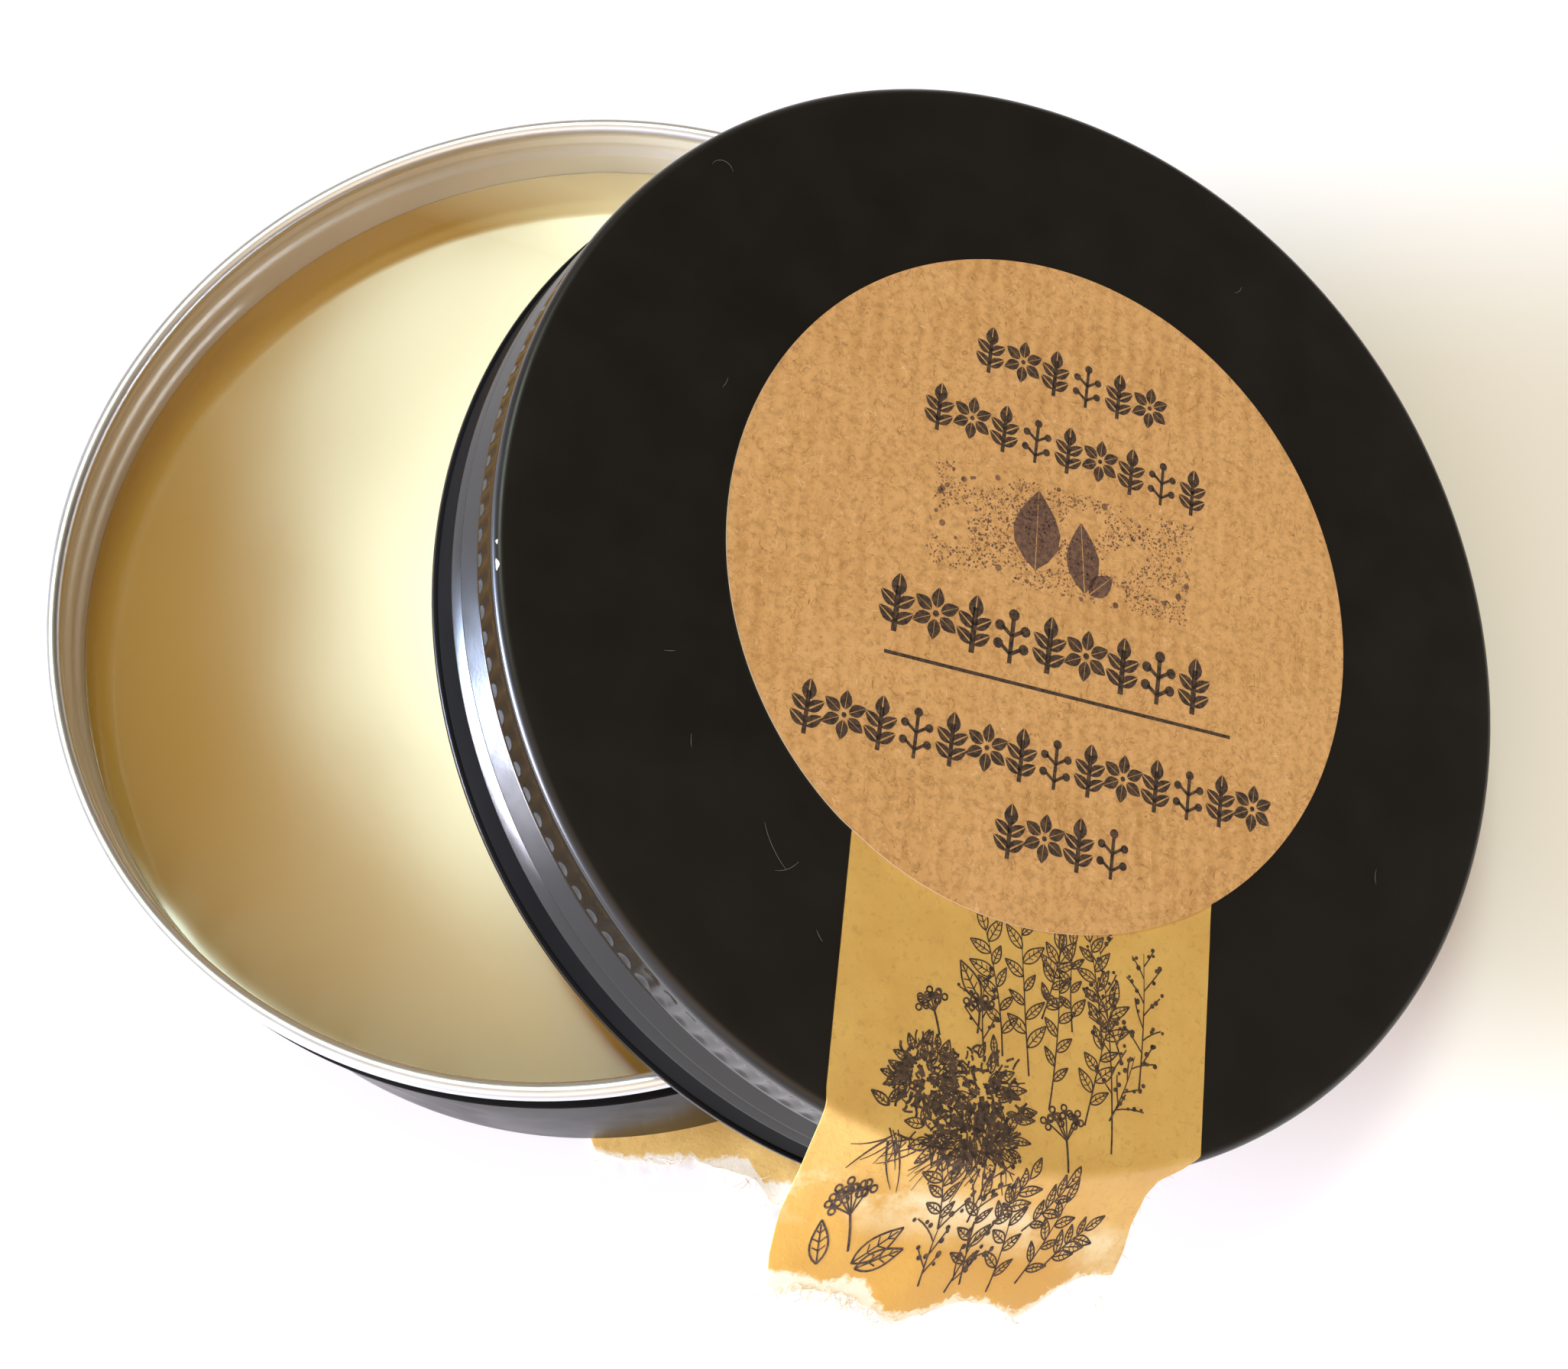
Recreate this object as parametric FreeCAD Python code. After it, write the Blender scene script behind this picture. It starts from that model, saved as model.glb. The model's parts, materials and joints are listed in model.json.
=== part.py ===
import FreeCAD, Part
import math
import os

# Round screw-top aluminium tin, opened: the lid leans on the rim of the base.
# Millimetres. Origin at the centre of the base's underside, +Z up, the lid leaning towards +X.

V = FreeCAD.Vector

# ---- base can ---------------------------------------------------------------------------
BASE_HEIGHT = 27.0          # to the top of the rolled rim
SHEET = 0.35                # aluminium sheet, base and lid
NECK_R = 38.9               # outside of the neck
FOOT_R = 38.3               # outside where the bottom corner starts, after the drawing draft
CORNER_R = 3.0              # bottom corner, outside
NECK_START_Z = 19.5         # the wall is straight above this height
RIM_R = 38.95               # centre line of the rolled rim
RIM_TUBE = 0.65

# thread rolled into the neck: a round bead outside, its groove inside
THREAD_R = 38.75            # centre line of the round sections
THREAD_BEAD = 0.95          # section radius outside
THREAD_GROOVE = 0.6         # section radius inside
THREAD_PITCH = 2.2
THREAD_TURNS = 1.25
THREAD_LOW_Z = 21.95        # centre height at the lower end
THREAD_LOW_DEG = 142.0      # bearing of the lower end
GROOVE_INSET_DEG = 1.2      # the groove stops this far inside the bead at each end

# ---- wax --------------------------------------------------------------------------------
WAX_TOP = 20.45
WAX_EDGE_RISE = 0.4         # the surface climbs where it meets the wall
WAX_EDGE_WIDTH = 1.6
WAX_GAP = 0.02              # clearance to the can

# ---- lid, in its own frame: axis +Z, lower edge at z = 0 ----------------------------------
LID_HEIGHT = 12.5
LID_TOP_R = 40.7            # over the knurled band
LID_EDGE_ROUND = 0.7
LID_CURL_R = 41.0           # centre line of the curled lower edge
LID_CURL_TUBE = 0.5
# beads and bands of the skirt, from the knurled band down: radius, height
SKIRT_OUTSIDE = [
    (40.7, 8.6), (40.4, 8.3), (40.55, 8.0), (40.4, 7.8), (40.65, 7.6), (40.75, 5.55), (40.0, 5.25),
    (40.75, 5.0), (40.85, 3.45), (40.45, 3.2), (40.75, 3.0), (41.2, 0.9), (41.2, 0.5),
]
SKIRT_INSIDE = [
    (40.85, 0.5), (40.85, 0.9), (40.4, 2.9), (40.1, 3.2), (40.45, 3.5), (40.4, 4.9), (39.65, 5.25),
    (40.4, 5.6), (40.3, 7.5), (40.05, 7.8), (40.2, 8.0), (40.05, 8.3), (40.35, 8.6),
]
KNURL_COUNT = 144
KNURL_TOOL_R = 0.6
KNURL_DEPTH = 0.15
KNURL_LOW = 8.9
KNURL_HIGH = 11.3
LINER_R = 39.8
LINER_THICK = 0.43
LINER_GAP = 0.02

# ---- how the lid leans --------------------------------------------------------------------
LEAN_DEG = 27.286           # tilt of the lid's axis towards +X
LID_X = 29.5                # centre of the lid's lower edge
LID_Z = 18.9515

# ---- paper: the round label and the two torn ends of the seal strip -------------------------
LABEL_THICK = 0.2
LABEL_R = 25.4
LABEL_X = 0.7
LABEL_Y = 1.39
TAPE_THICK = 0.3
STRIP_TURN_DEG = 2.2        # the strip's run on the lid, turned from the lid's own -Y
STRIP_LEFT = -13.1
STRIP_RIGHT = 15.3
STRIP_START_Y = -16.0       # hidden end, under the label
STRIP_LEFT_END_Y = -37.5    # the strip's sides are straight up to the lid's edge
STRIP_RIGHT_END_Y = -37.6
LABEL_LIFT_MARGIN = 0.5     # the label stands clear of the strip by this much beside it
FLAP_DROP_DEG = 45.0        # how steeply the flap falls past the lid's edge
FLAP_REACH = 14.5
# torn outline of the flap in plan, in the strip's own axes: x, y
FLAP_OUTLINE = [
    (-12.9, -39.0), (-12.8, -42.0), (-12.9, -44.5), (-12.4, -47.0), (-11.4, -49.3), (-10.4, -48.8),
    (-7.0, -48.9), (-4.4, -49.6), (-3.2, -50.0), (-0.4, -49.0), (1.2, -48.3), (3.8, -48.1),
    (6.2, -48.8), (7.6, -47.6), (9.0, -46.1), (10.4, -45.4), (12.7, -45.1), (12.7, -43.6),
    (12.1, -42.0), (12.1, -40.2), (12.9, -38.9),
]
# lower end of the strip, spreading from under the base's bottom corner
STUB_BEARING_DEG = -61.0
STUB_Z = 0.05
# its outline: distance out from the base's axis, distance sideways
STUB_OUTLINE = [
    (35.0, -14.3), (36.0, -14.4), (37.6, -12.3), (38.3, -10.0), (39.5, -7.4), (42.7, -3.2),
    (45.4, -2.8), (46.7, 0.5), (45.4, 4.0), (46.3, 7.8), (44.5, 11.2), (45.0, 14.2), (35.0, 14.2),
]


def line(a, b):
    return Part.makeLine(V(a[0], 0, a[1]), V(b[0], 0, b[1]))


def chain(points):
    return [line(a, b) for a, b in zip(points, points[1:])]


def polar(centre, radius, degrees):
    turn = math.radians(degrees)
    return (centre[0] + radius * math.cos(turn), centre[1] + radius * math.sin(turn))


def arc(centre, radius, from_deg, to_deg):
    stops = (from_deg, (from_deg + to_deg) / 2, to_deg)
    points = [polar(centre, radius, degrees) for degrees in stops]
    return Part.Arc(*[V(x, 0, z) for x, z in points]).toShape()


def lathe(edges):
    """Turn a closed profile, given as edges in the X-Z plane, about the Z axis."""
    face = Part.Face(Part.Wire(Part.__sortEdges__(edges)))
    return face.revolve(V(0, 0, 0), V(0, 0, 1), 360)


def ring(radius, tube, z):
    return Part.makeTorus(radius, tube, V(0, 0, z))


def prism(points, z, height):
    """A straight-sided solid on a closed outline of (x, y) points."""
    wire = Part.makePolygon([V(x, y, z) for x, y in points + points[:1]])
    return Part.Face(wire).extrude(V(0, 0, height))


def thread_sweep(section_r, inset_deg):
    """A round section swept along the neck's thread, shortened at each end."""
    turns = THREAD_TURNS - 2 * inset_deg / 360
    helix = Part.makeHelix(THREAD_PITCH, THREAD_PITCH * turns, THREAD_R)
    slope = math.atan2(THREAD_PITCH, 2 * math.pi * THREAD_R)
    heading = V(0, math.cos(slope), math.sin(slope))
    section = Part.Wire(Part.makeCircle(section_r, V(THREAD_R, 0, 0), heading))
    sweep = Part.Wire(helix).makePipeShell([section], True, True)
    sweep.rotate(V(0, 0, 0), V(0, 0, 1), THREAD_LOW_DEG + inset_deg)
    sweep.translate(V(0, 0, THREAD_LOW_Z + THREAD_PITCH * inset_deg / 360))
    return sweep


def base_can():
    corner = (FOOT_R - CORNER_R, CORNER_R)
    rim_z = BASE_HEIGHT - RIM_TUBE
    outside = [(FOOT_R, CORNER_R), (NECK_R, NECK_START_Z), (NECK_R, rim_z)]
    inside = [(NECK_R - SHEET, rim_z), (NECK_R - SHEET, NECK_START_Z), (FOOT_R - SHEET, CORNER_R)]
    edges = [line((0, 0), (corner[0], 0)), arc(corner, CORNER_R, -90, 0)]
    edges += chain(outside + inside)
    edges += [arc(corner, CORNER_R - SHEET, 0, -90)]
    edges += chain([(corner[0], SHEET), (0, SHEET), (0, 0)])
    bore = Part.makeCylinder(NECK_R - SHEET, BASE_HEIGHT)
    bead = thread_sweep(THREAD_BEAD, 0).cut(bore)
    can = lathe(edges).fuse(bead).fuse(ring(RIM_R, RIM_TUBE, rim_z))
    return can.cut(thread_sweep(THREAD_GROOVE, GROOVE_INSET_DEG)).removeSplitter()


def wax_fill():
    corner = (FOOT_R - CORNER_R, CORNER_R)
    corner_r = CORNER_R - SHEET - WAX_GAP
    floor_z = SHEET + WAX_GAP
    wall_r = NECK_R - SHEET - WAX_GAP
    surface = [
        (corner[0] + corner_r, CORNER_R), (wall_r, NECK_START_Z), (wall_r, WAX_TOP + WAX_EDGE_RISE),
        (wall_r - WAX_EDGE_WIDTH, WAX_TOP), (0, WAX_TOP), (0, floor_z), (corner[0], floor_z),
    ]
    return lathe(chain(surface) + [arc(corner, corner_r, -90, 0)])


def lid_shell():
    edge = (LID_TOP_R - LID_EDGE_ROUND, LID_HEIGHT - LID_EDGE_ROUND)
    roof = LID_HEIGHT - SHEET
    outside = [(LID_TOP_R, edge[1])] + SKIRT_OUTSIDE
    inside = SKIRT_INSIDE + [(LID_TOP_R - SHEET, edge[1])]
    edges = [line((0, LID_HEIGHT), (edge[0], LID_HEIGHT)), arc(edge, LID_EDGE_ROUND, 90, 0)]
    edges += chain(outside + inside)
    edges += [arc(edge, LID_EDGE_ROUND - SHEET, 0, 90)]
    edges += chain([(edge[0], roof), (0, roof), (0, LID_HEIGHT)])
    shell = lathe(edges).fuse(ring(LID_CURL_R, LID_CURL_TUBE, LID_CURL_TUBE))
    flutes = []
    for i in range(KNURL_COUNT):
        x, y = polar((0, 0), LID_TOP_R + KNURL_TOOL_R - KNURL_DEPTH, 360 * i / KNURL_COUNT)
        flutes.append(Part.makeCylinder(KNURL_TOOL_R, KNURL_HIGH - KNURL_LOW, V(x, y, KNURL_LOW)))
    return shell.cut(Part.makeCompound(flutes)).removeSplitter()


def lid_liner():
    low = LID_HEIGHT - SHEET - LINER_GAP - LINER_THICK
    return Part.makeCylinder(LINER_R, LINER_THICK, V(0, 0, low))


def lid_seal_tape():
    """Flat on the lid's top, round its edge and down into the torn flap."""
    edge = (LID_TOP_R - LID_EDGE_ROUND, LID_HEIGHT - LID_EDGE_ROUND)
    leave_deg = 90 - FLAP_DROP_DEG
    outer_r = LID_EDGE_ROUND + TAPE_THICK
    under = polar(edge, LID_EDGE_ROUND, leave_deg)
    over = polar(edge, outer_r, leave_deg)
    edges = [line((0, LID_HEIGHT), (edge[0], LID_HEIGHT)), arc(edge, LID_EDGE_ROUND, 90, leave_deg)]
    edges += chain([under, polar(under, FLAP_REACH, -FLAP_DROP_DEG),
                    polar(over, FLAP_REACH, -FLAP_DROP_DEG), over])
    edges += [arc(edge, outer_r, leave_deg, 90)]
    edges += chain([(edge[0], LID_HEIGHT + TAPE_THICK), (0, LID_HEIGHT + TAPE_THICK), (0, LID_HEIGHT)])
    outline = [(STRIP_LEFT, STRIP_START_Y), (STRIP_LEFT, STRIP_LEFT_END_Y)] + FLAP_OUTLINE
    outline += [(STRIP_RIGHT, STRIP_RIGHT_END_Y), (STRIP_RIGHT, STRIP_START_Y)]
    tape = lathe(edges).common(prism(outline, -LID_HEIGHT, 3 * LID_HEIGHT))
    tape.rotate(V(0, 0, 0), V(0, 0, 1), STRIP_TURN_DEG)
    return tape


def strip_block(margin, z, height):
    """A block over the part of the strip that the label covers, wider and longer by margin."""
    left = STRIP_LEFT - margin
    right = STRIP_RIGHT + margin
    back = STRIP_START_Y + margin
    block = prism([(left, back), (left, -LID_TOP_R), (right, -LID_TOP_R), (right, back)], z, height)
    block.rotate(V(0, 0, 0), V(0, 0, 1), STRIP_TURN_DEG)
    return block


def lid_label():
    """Round label, lifted where it lies over the strip."""
    raised_thick = LABEL_THICK + TAPE_THICK
    centre = V(LABEL_X, LABEL_Y, LID_HEIGHT)
    flat = Part.makeCylinder(LABEL_R, LABEL_THICK, centre)
    raised = Part.makeCylinder(LABEL_R, raised_thick, centre)
    raised = raised.common(strip_block(LABEL_LIFT_MARGIN, LID_HEIGHT, raised_thick))
    pocket = strip_block(0, LID_HEIGHT - TAPE_THICK, 2 * TAPE_THICK)
    return flat.fuse(raised).cut(pocket).removeSplitter()


def base_seal_tape():
    corner_r = FOOT_R - CORNER_R
    slab = prism(STUB_OUTLINE, STUB_Z, TAPE_THICK)
    slab.rotate(V(0, 0, 0), V(0, 0, 1), STUB_BEARING_DEG)
    foot = Part.makeCylinder(corner_r, CORNER_R).fuse(ring(corner_r, CORNER_R, CORNER_R))
    return slab.cut(foot)


def leaned(shape):
    """Carry a shape from the lid's own frame to where the lid leans."""
    moved = shape.copy()
    lean = FreeCAD.Placement(V(LID_X, 0, LID_Z), FreeCAD.Rotation(V(0, 1, 0), LEAN_DEG))
    moved.Placement = lean.multiply(shape.Placement)
    return moved


def main():
    os.makedirs("parts", exist_ok=True)
    nodes = {
        "base_can": base_can(),
        "wax_fill": wax_fill(),
        "base_seal_tape": base_seal_tape(),
        "lid_shell": leaned(lid_shell()),
        "lid_liner": leaned(lid_liner()),
        "lid_label": leaned(lid_label()),
        "lid_seal_tape": leaned(lid_seal_tape()),
    }
    for name, shape in nodes.items():
        print(name, len(shape.Solids), "solids, valid", shape.isValid(), "volume", round(shape.Volume, 1))
        shape.Solids[0].exportStep("parts/" + name + ".step")


main()
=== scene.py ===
import json
import math
import random

import bmesh
import bpy
import numpy as np
from mathutils import Matrix, Vector, noise


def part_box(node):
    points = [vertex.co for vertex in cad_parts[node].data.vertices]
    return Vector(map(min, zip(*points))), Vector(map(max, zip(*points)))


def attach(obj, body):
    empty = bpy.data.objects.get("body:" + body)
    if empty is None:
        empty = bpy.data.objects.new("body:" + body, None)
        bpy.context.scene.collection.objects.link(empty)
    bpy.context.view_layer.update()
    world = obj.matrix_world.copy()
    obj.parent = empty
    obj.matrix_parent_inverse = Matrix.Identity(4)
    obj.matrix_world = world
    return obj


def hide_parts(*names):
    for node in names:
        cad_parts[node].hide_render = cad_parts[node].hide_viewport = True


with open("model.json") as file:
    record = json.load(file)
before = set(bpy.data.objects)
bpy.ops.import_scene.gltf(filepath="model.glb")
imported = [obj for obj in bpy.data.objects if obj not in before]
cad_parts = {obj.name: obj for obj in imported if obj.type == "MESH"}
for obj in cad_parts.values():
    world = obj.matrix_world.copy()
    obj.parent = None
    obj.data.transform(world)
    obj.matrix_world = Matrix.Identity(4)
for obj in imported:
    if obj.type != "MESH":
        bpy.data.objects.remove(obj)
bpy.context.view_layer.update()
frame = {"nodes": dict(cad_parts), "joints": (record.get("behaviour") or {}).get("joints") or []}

MM = 0.001
TAU = 2 * math.pi
UP = math.pi / 2
DOWN = -UP

# ---- frames --------------------------------------------------------------------------------------
# The base's frame is the row frame. The lid has its own, on the axis that it turns about.
TURN = next(j for j in frame["joints"] if j["name"] == "lid_turn")
AXIS = Vector(TURN["axis"]).normalized()
PIVOT = Vector(TURN["pos_m"])
ACROSS = Vector((0, 1, 0)).cross(AXIS).normalized()


def lid_reach(node):
    """Lowest and highest point of a node along the lid's axis, and its largest radius, in mm."""
    rel = [v.co - PIVOT for v in frame["nodes"][node].data.vertices]
    along = [d.dot(AXIS) for d in rel]
    radius = max((d - a * AXIS).length for d, a in zip(rel, along))
    return min(along) / MM, max(along) / MM, radius / MM


LOW, HIGH, LID_R = lid_reach("lid_shell")
LID_H = HIGH - LOW
LID_AXES = Matrix((ACROSS, (0, 1, 0), AXIS)).transposed().to_4x4()
LID_FRAME = Matrix.Translation(PIVOT + LOW * MM * AXIS) @ LID_AXES
BASE_FRAME = Matrix.Identity(4)

BASE_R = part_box("base_can")[1].x / MM
BASE_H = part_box("base_can")[1].z / MM
WAX_EDGE_RISE = 0.4         # the CAD wax climbs this far at the wall
WAX_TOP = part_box("wax_fill")[1].z / MM - WAX_EDGE_RISE
SHEET = 0.35                # thickness of the aluminium


# ---- mesh helpers, all in mm in the piece's own frame --------------------------------------------
def piece(name, verts, faces, materials, body, at=BASE_FRAME, face_material=None, sharp=35):
    """Adds a named mesh that rides on a body. Its points are in mm, in the frame given as at."""
    mesh = bpy.data.meshes.new(name)
    mesh.from_pydata((np.asarray(verts, float) * MM).tolist(), [], [tuple(f) for f in faces])
    bm = bmesh.new()
    bm.from_mesh(mesh)
    bmesh.ops.recalc_face_normals(bm, faces=bm.faces)
    bm.to_mesh(mesh)
    bm.free()
    for m in materials:
        mesh.materials.append(m)
    if face_material is not None:
        mesh.polygons.foreach_set("material_index", np.asarray(face_material, np.int32))
    mesh.polygons.foreach_set("use_smooth", [True] * len(mesh.polygons))
    mesh.set_sharp_from_angle(angle=math.radians(sharp))
    obj = bpy.data.objects.new(name, mesh)
    bpy.context.scene.collection.objects.link(obj)
    obj.matrix_world = at
    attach(obj, body)
    return obj


def rounded(points, radius, steps=4):
    """The same line with its inner corners rounded off by about radius."""
    pts = [np.array(p, float) for p in points]
    out = [pts[0]]
    for a, b, c in zip(pts, pts[1:], pts[2:]):
        la, lc = np.linalg.norm(a - b), np.linalg.norm(c - b)
        cut = min(radius, 0.45 * la, 0.45 * lc)
        p, q = b + (a - b) / la * cut, b + (c - b) / lc * cut
        for t in np.linspace(0, 1, steps + 1):
            out.append((1 - t) ** 2 * p + 2 * t * (1 - t) * b + t * t * q)
    out.append(pts[-1])
    return [tuple(p) for p in out]


def arc(centre, radius, start, end, steps):
    """Points along an arc, from start to end in degrees."""
    return [
        (centre[0] + radius * math.cos(math.radians(d)), centre[1] + radius * math.sin(math.radians(d)))
        for d in np.linspace(start, end, steps)
    ]


def lathe(profile, segments, shift=None, lift=None):
    """Turns a profile of (radius, height) points that starts and ends on the axis.

    shift moves points outwards and lift moves them up. Returns points, faces and each face's profile row.
    """
    inner = np.array(profile[1:-1], float)
    turn = np.arange(segments) * TAU / segments
    r = np.repeat(inner[:, :1], segments, 1)
    z = np.repeat(inner[:, 1:], segments, 1)
    if shift is not None:
        r = r + shift(turn, inner)
    if lift is not None:
        z = z + lift(turn, r)
    ring = np.stack([r * np.cos(turn), r * np.sin(turn), z], -1).reshape(-1, 3)
    verts = np.vstack([[(0, 0, profile[0][1])], ring, [(0, 0, profile[-1][1])]])
    rows = len(inner)
    faces, row_of = [], []
    for j in range(segments):
        k = (j + 1) % segments
        faces.append((0, 1 + k, 1 + j))
        row_of.append(0)
        base = 1 + (rows - 1) * segments
        faces.append((len(verts) - 1, base + j, base + k))
        row_of.append(rows)
    for i in range(rows - 1):
        a, b = 1 + i * segments, 1 + (i + 1) * segments
        for j in range(segments):
            k = (j + 1) % segments
            faces.append((a + j, a + k, b + k, b + j))
            row_of.append(i + 1)
    return verts, faces, np.array(row_of)


def smooth(x, lo, hi):
    """0 below lo, 1 above hi, and an even S between."""
    t = np.clip((x - lo) / (hi - lo), 0, 1)
    return t * t * (3 - 2 * t)


def sheet_faces(inner, outer):
    """Faces of a thin closed sheet: two layers of outer x inner cells, joined round the edge."""
    w = inner + 1
    layer = w * (outer + 1)
    faces = []
    for j in range(outer):
        for i in range(inner):
            a = j * w + i
            faces.append((a, a + 1, a + w + 1, a + w))
            faces.append((a + layer, a + w + layer, a + w + 1 + layer, a + 1 + layer))
    border = [i for i in range(inner)] + [j * w + inner for j in range(outer)]
    border += [outer * w + i for i in range(inner, 0, -1)] + [j * w for j in range(outer, 0, -1)]
    for a, b in zip(border, border[1:] + border[:1]):
        faces.append((a, a + layer, b + layer, b))
    return faces


def tubes(paths, radius, sides=5):
    """Thin closed tubes along point lists, thinning towards both ends, where they are capped."""
    verts, faces = [], []
    for path in paths:
        p = np.array(path, float)
        d = np.gradient(p, axis=0)
        d /= np.linalg.norm(d, axis=1)[:, None] + 1e-9
        side = np.cross(d, (0.31, 0.17, 0.93))
        side /= np.linalg.norm(side, axis=1)[:, None] + 1e-9
        up = np.cross(d, side)
        n = len(p)
        first = len(verts)
        for i in range(n):
            here = radius * (0.35 + 0.65 * math.sin(math.pi * (i + 0.5) / n))
            for s in range(sides):
                a = TAU * s / sides
                verts.append(p[i] + here * (math.cos(a) * side[i] + math.sin(a) * up[i]))
        for i in range(n - 1):
            for s in range(sides):
                t = (s + 1) % sides
                a, b = first + i * sides, first + (i + 1) * sides
                faces.append((a + s, a + t, b + t, b + s))
        faces.append(tuple(first + s for s in range(sides))[::-1])
        faces.append(tuple(first + (n - 1) * sides + s for s in range(sides)))
    return verts, faces


# ---- material helpers ----------------------------------------------------------------------------
def feed(tree, socket, value):
    """Links an output to a socket, or sets a plain value on it."""
    if isinstance(value, bpy.types.NodeSocket):
        tree.links.new(value, socket)
    else:
        socket.default_value = value


class Nodes:
    """A short way to write node materials. Textures use object coordinates, in metres."""

    def __init__(self, name):
        self.material = bpy.data.materials.new(name)
        self.material.use_nodes = True
        self.tree = self.material.node_tree
        self.shader = self.tree.nodes["Principled BSDF"]
        self.coords = self.tree.nodes.new("ShaderNodeTexCoord").outputs["Object"]

    def set(self, **values):
        for key, value in values.items():
            self.shader.inputs[key.replace("_", " ")].default_value = value
        return self

    def link(self, out, socket):
        self.tree.links.new(out, self.shader.inputs[socket])

    def put(self, node, socket, value):
        feed(self.tree, node.inputs[socket], value)

    def stretch(self, scale, spin):
        node = self.tree.nodes.new("ShaderNodeMapping")
        self.put(node, "Vector", self.coords)
        node.inputs["Scale"].default_value = scale
        node.inputs["Rotation"].default_value = (0, 0, spin)
        return node.outputs["Vector"]

    def noise(self, scale, detail=4, rough=0.55, vector=None, distort=0.0):
        node = self.tree.nodes.new("ShaderNodeTexNoise")
        self.put(node, "Vector", self.coords if vector is None else vector)
        node.inputs["Scale"].default_value = scale
        node.inputs["Detail"].default_value = detail
        node.inputs["Roughness"].default_value = rough
        node.inputs["Distortion"].default_value = distort
        return node.outputs["Fac"]

    def ramp(self, fac, *stops):
        """Each stop is a place from 0 to 1 and its colour, or a number for grey."""
        node = self.tree.nodes.new("ShaderNodeValToRGB")
        self.put(node, "Fac", fac)
        while len(node.color_ramp.elements) < len(stops):
            node.color_ramp.elements.new(0.5)
        for element, (at, colour) in zip(node.color_ramp.elements, stops):
            element.position = at
            element.color = (*colour, 1) if isinstance(colour, tuple) else (colour, colour, colour, 1)
        return node.outputs["Color"]

    def mix(self, fac, a, b):
        node = self.tree.nodes.new("ShaderNodeMix")
        node.data_type = "RGBA"
        colours = [i for i in node.inputs if i.type == "RGBA"]
        factor = next(i for i in node.inputs if i.name == "Factor" and i.type == "VALUE")
        for socket, value in ((factor, fac), (colours[0], a), (colours[1], b)):
            feed(self.tree, socket, (*value, 1) if isinstance(value, tuple) else value)
        return next(o for o in node.outputs if o.type == "RGBA")

    def math(self, operation, a, b=0.0):
        node = self.tree.nodes.new("ShaderNodeMath")
        node.operation = operation
        self.put(node, 0, a)
        self.put(node, 1, b)
        return node.outputs[0]

    def attribute(self, name):
        node = self.tree.nodes.new("ShaderNodeAttribute")
        node.attribute_name = name
        return node.outputs["Fac"]

    def axis(self, which):
        node = self.tree.nodes.new("ShaderNodeSeparateXYZ")
        self.put(node, "Vector", self.coords)
        return node.outputs[which]

    def rise(self, a, b, rate):
        """(a - b) * rate, where a and b are outputs or numbers."""
        return self.math("MULTIPLY", self.math("SUBTRACT", a, b), rate)

    def bump(self, height, distance, strength=1.0):
        node = self.tree.nodes.new("ShaderNodeBump")
        self.put(node, "Height", height)
        node.inputs["Distance"].default_value = distance
        node.inputs["Strength"].default_value = strength
        self.link(node.outputs["Normal"], "Normal")


def lacquer(name, roughness, wear, gloss=0.5):
    """Black baked lacquer, with faint clouding and a fine orange peel."""
    m = Nodes(name).set(Roughness=roughness, IOR=1.5, Specular_IOR_Level=gloss)
    cloud = m.noise(60, 3)
    m.link(m.ramp(cloud, (0.3, (0.0042, 0.0041, 0.0042)), (0.75, (0.0070, 0.0068, 0.0068))), "Base Color")
    m.link(m.ramp(m.noise(220, 5), (0.3, roughness - 0.03), (0.7, roughness + wear)), "Roughness")
    m.bump(m.noise(3500, 2), 0.000004, 0.4)
    return m.material


def aluminium():
    """Bright on the rolled rim, above 25.8 mm, and duller on the drawn wall under it."""
    m = Nodes("tin_sheet").set(Roughness=0.3)
    rim = m.ramp(m.rise(m.axis("Z"), 0.0258, 1500), (0.0, 0.0), (1.0, 1.0))
    wall = m.ramp(m.noise(90, 4), (0.35, (0.70, 0.69, 0.62)), (0.7, (0.76, 0.75, 0.68)))
    m.link(m.mix(rim, wall, (0.72, 0.75, 0.79)), "Base Color")
    m.link(m.ramp(rim, (0.0, 0.5), (1.0, 1.0)), "Metallic")
    m.link(m.ramp(m.noise(300, 4), (0.3, 0.30), (0.7, 0.36)), "Roughness")
    return m.material


def wax():
    """Amber wax with a glossy skin, and a painted pale glare at its far edge, where the wall hides the
    mirrored light.
    """
    m = Nodes("wax").set(Roughness=0.12, IOR=1.5, Specular_IOR_Level=0.7, Coat_Weight=1.0, Coat_IOR=1.5,
                         Coat_Roughness=0.09, Subsurface_Weight=0.2, Subsurface_Scale=0.003)
    m.shader.inputs["Subsurface Radius"].default_value = (1.0, 0.6, 0.25)
    body = m.ramp(m.noise(25, 3), (0.3, (0.42, 0.250, 0.034)), (0.7, (0.45, 0.270, 0.044)))
    # distance from the base's axis towards the far side, which leans a little towards +X
    far = m.math("ADD", m.math("MULTIPLY", m.axis("X"), 0.2), m.math("MULTIPLY", m.axis("Y"), 0.98))
    # painted glare: the wax is coloured pale towards its far edge to stand for the light mirrored there
    painted_glare = m.ramp(m.rise(far, 0.028, 150), (0.0, 0.0), (1.0, 0.85))
    m.link(m.mix(painted_glare, body, (0.86, 0.78, 0.46)), "Base Color")
    m.bump(m.noise(120, 2), 0.00002, 0.3)
    return m.material


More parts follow.
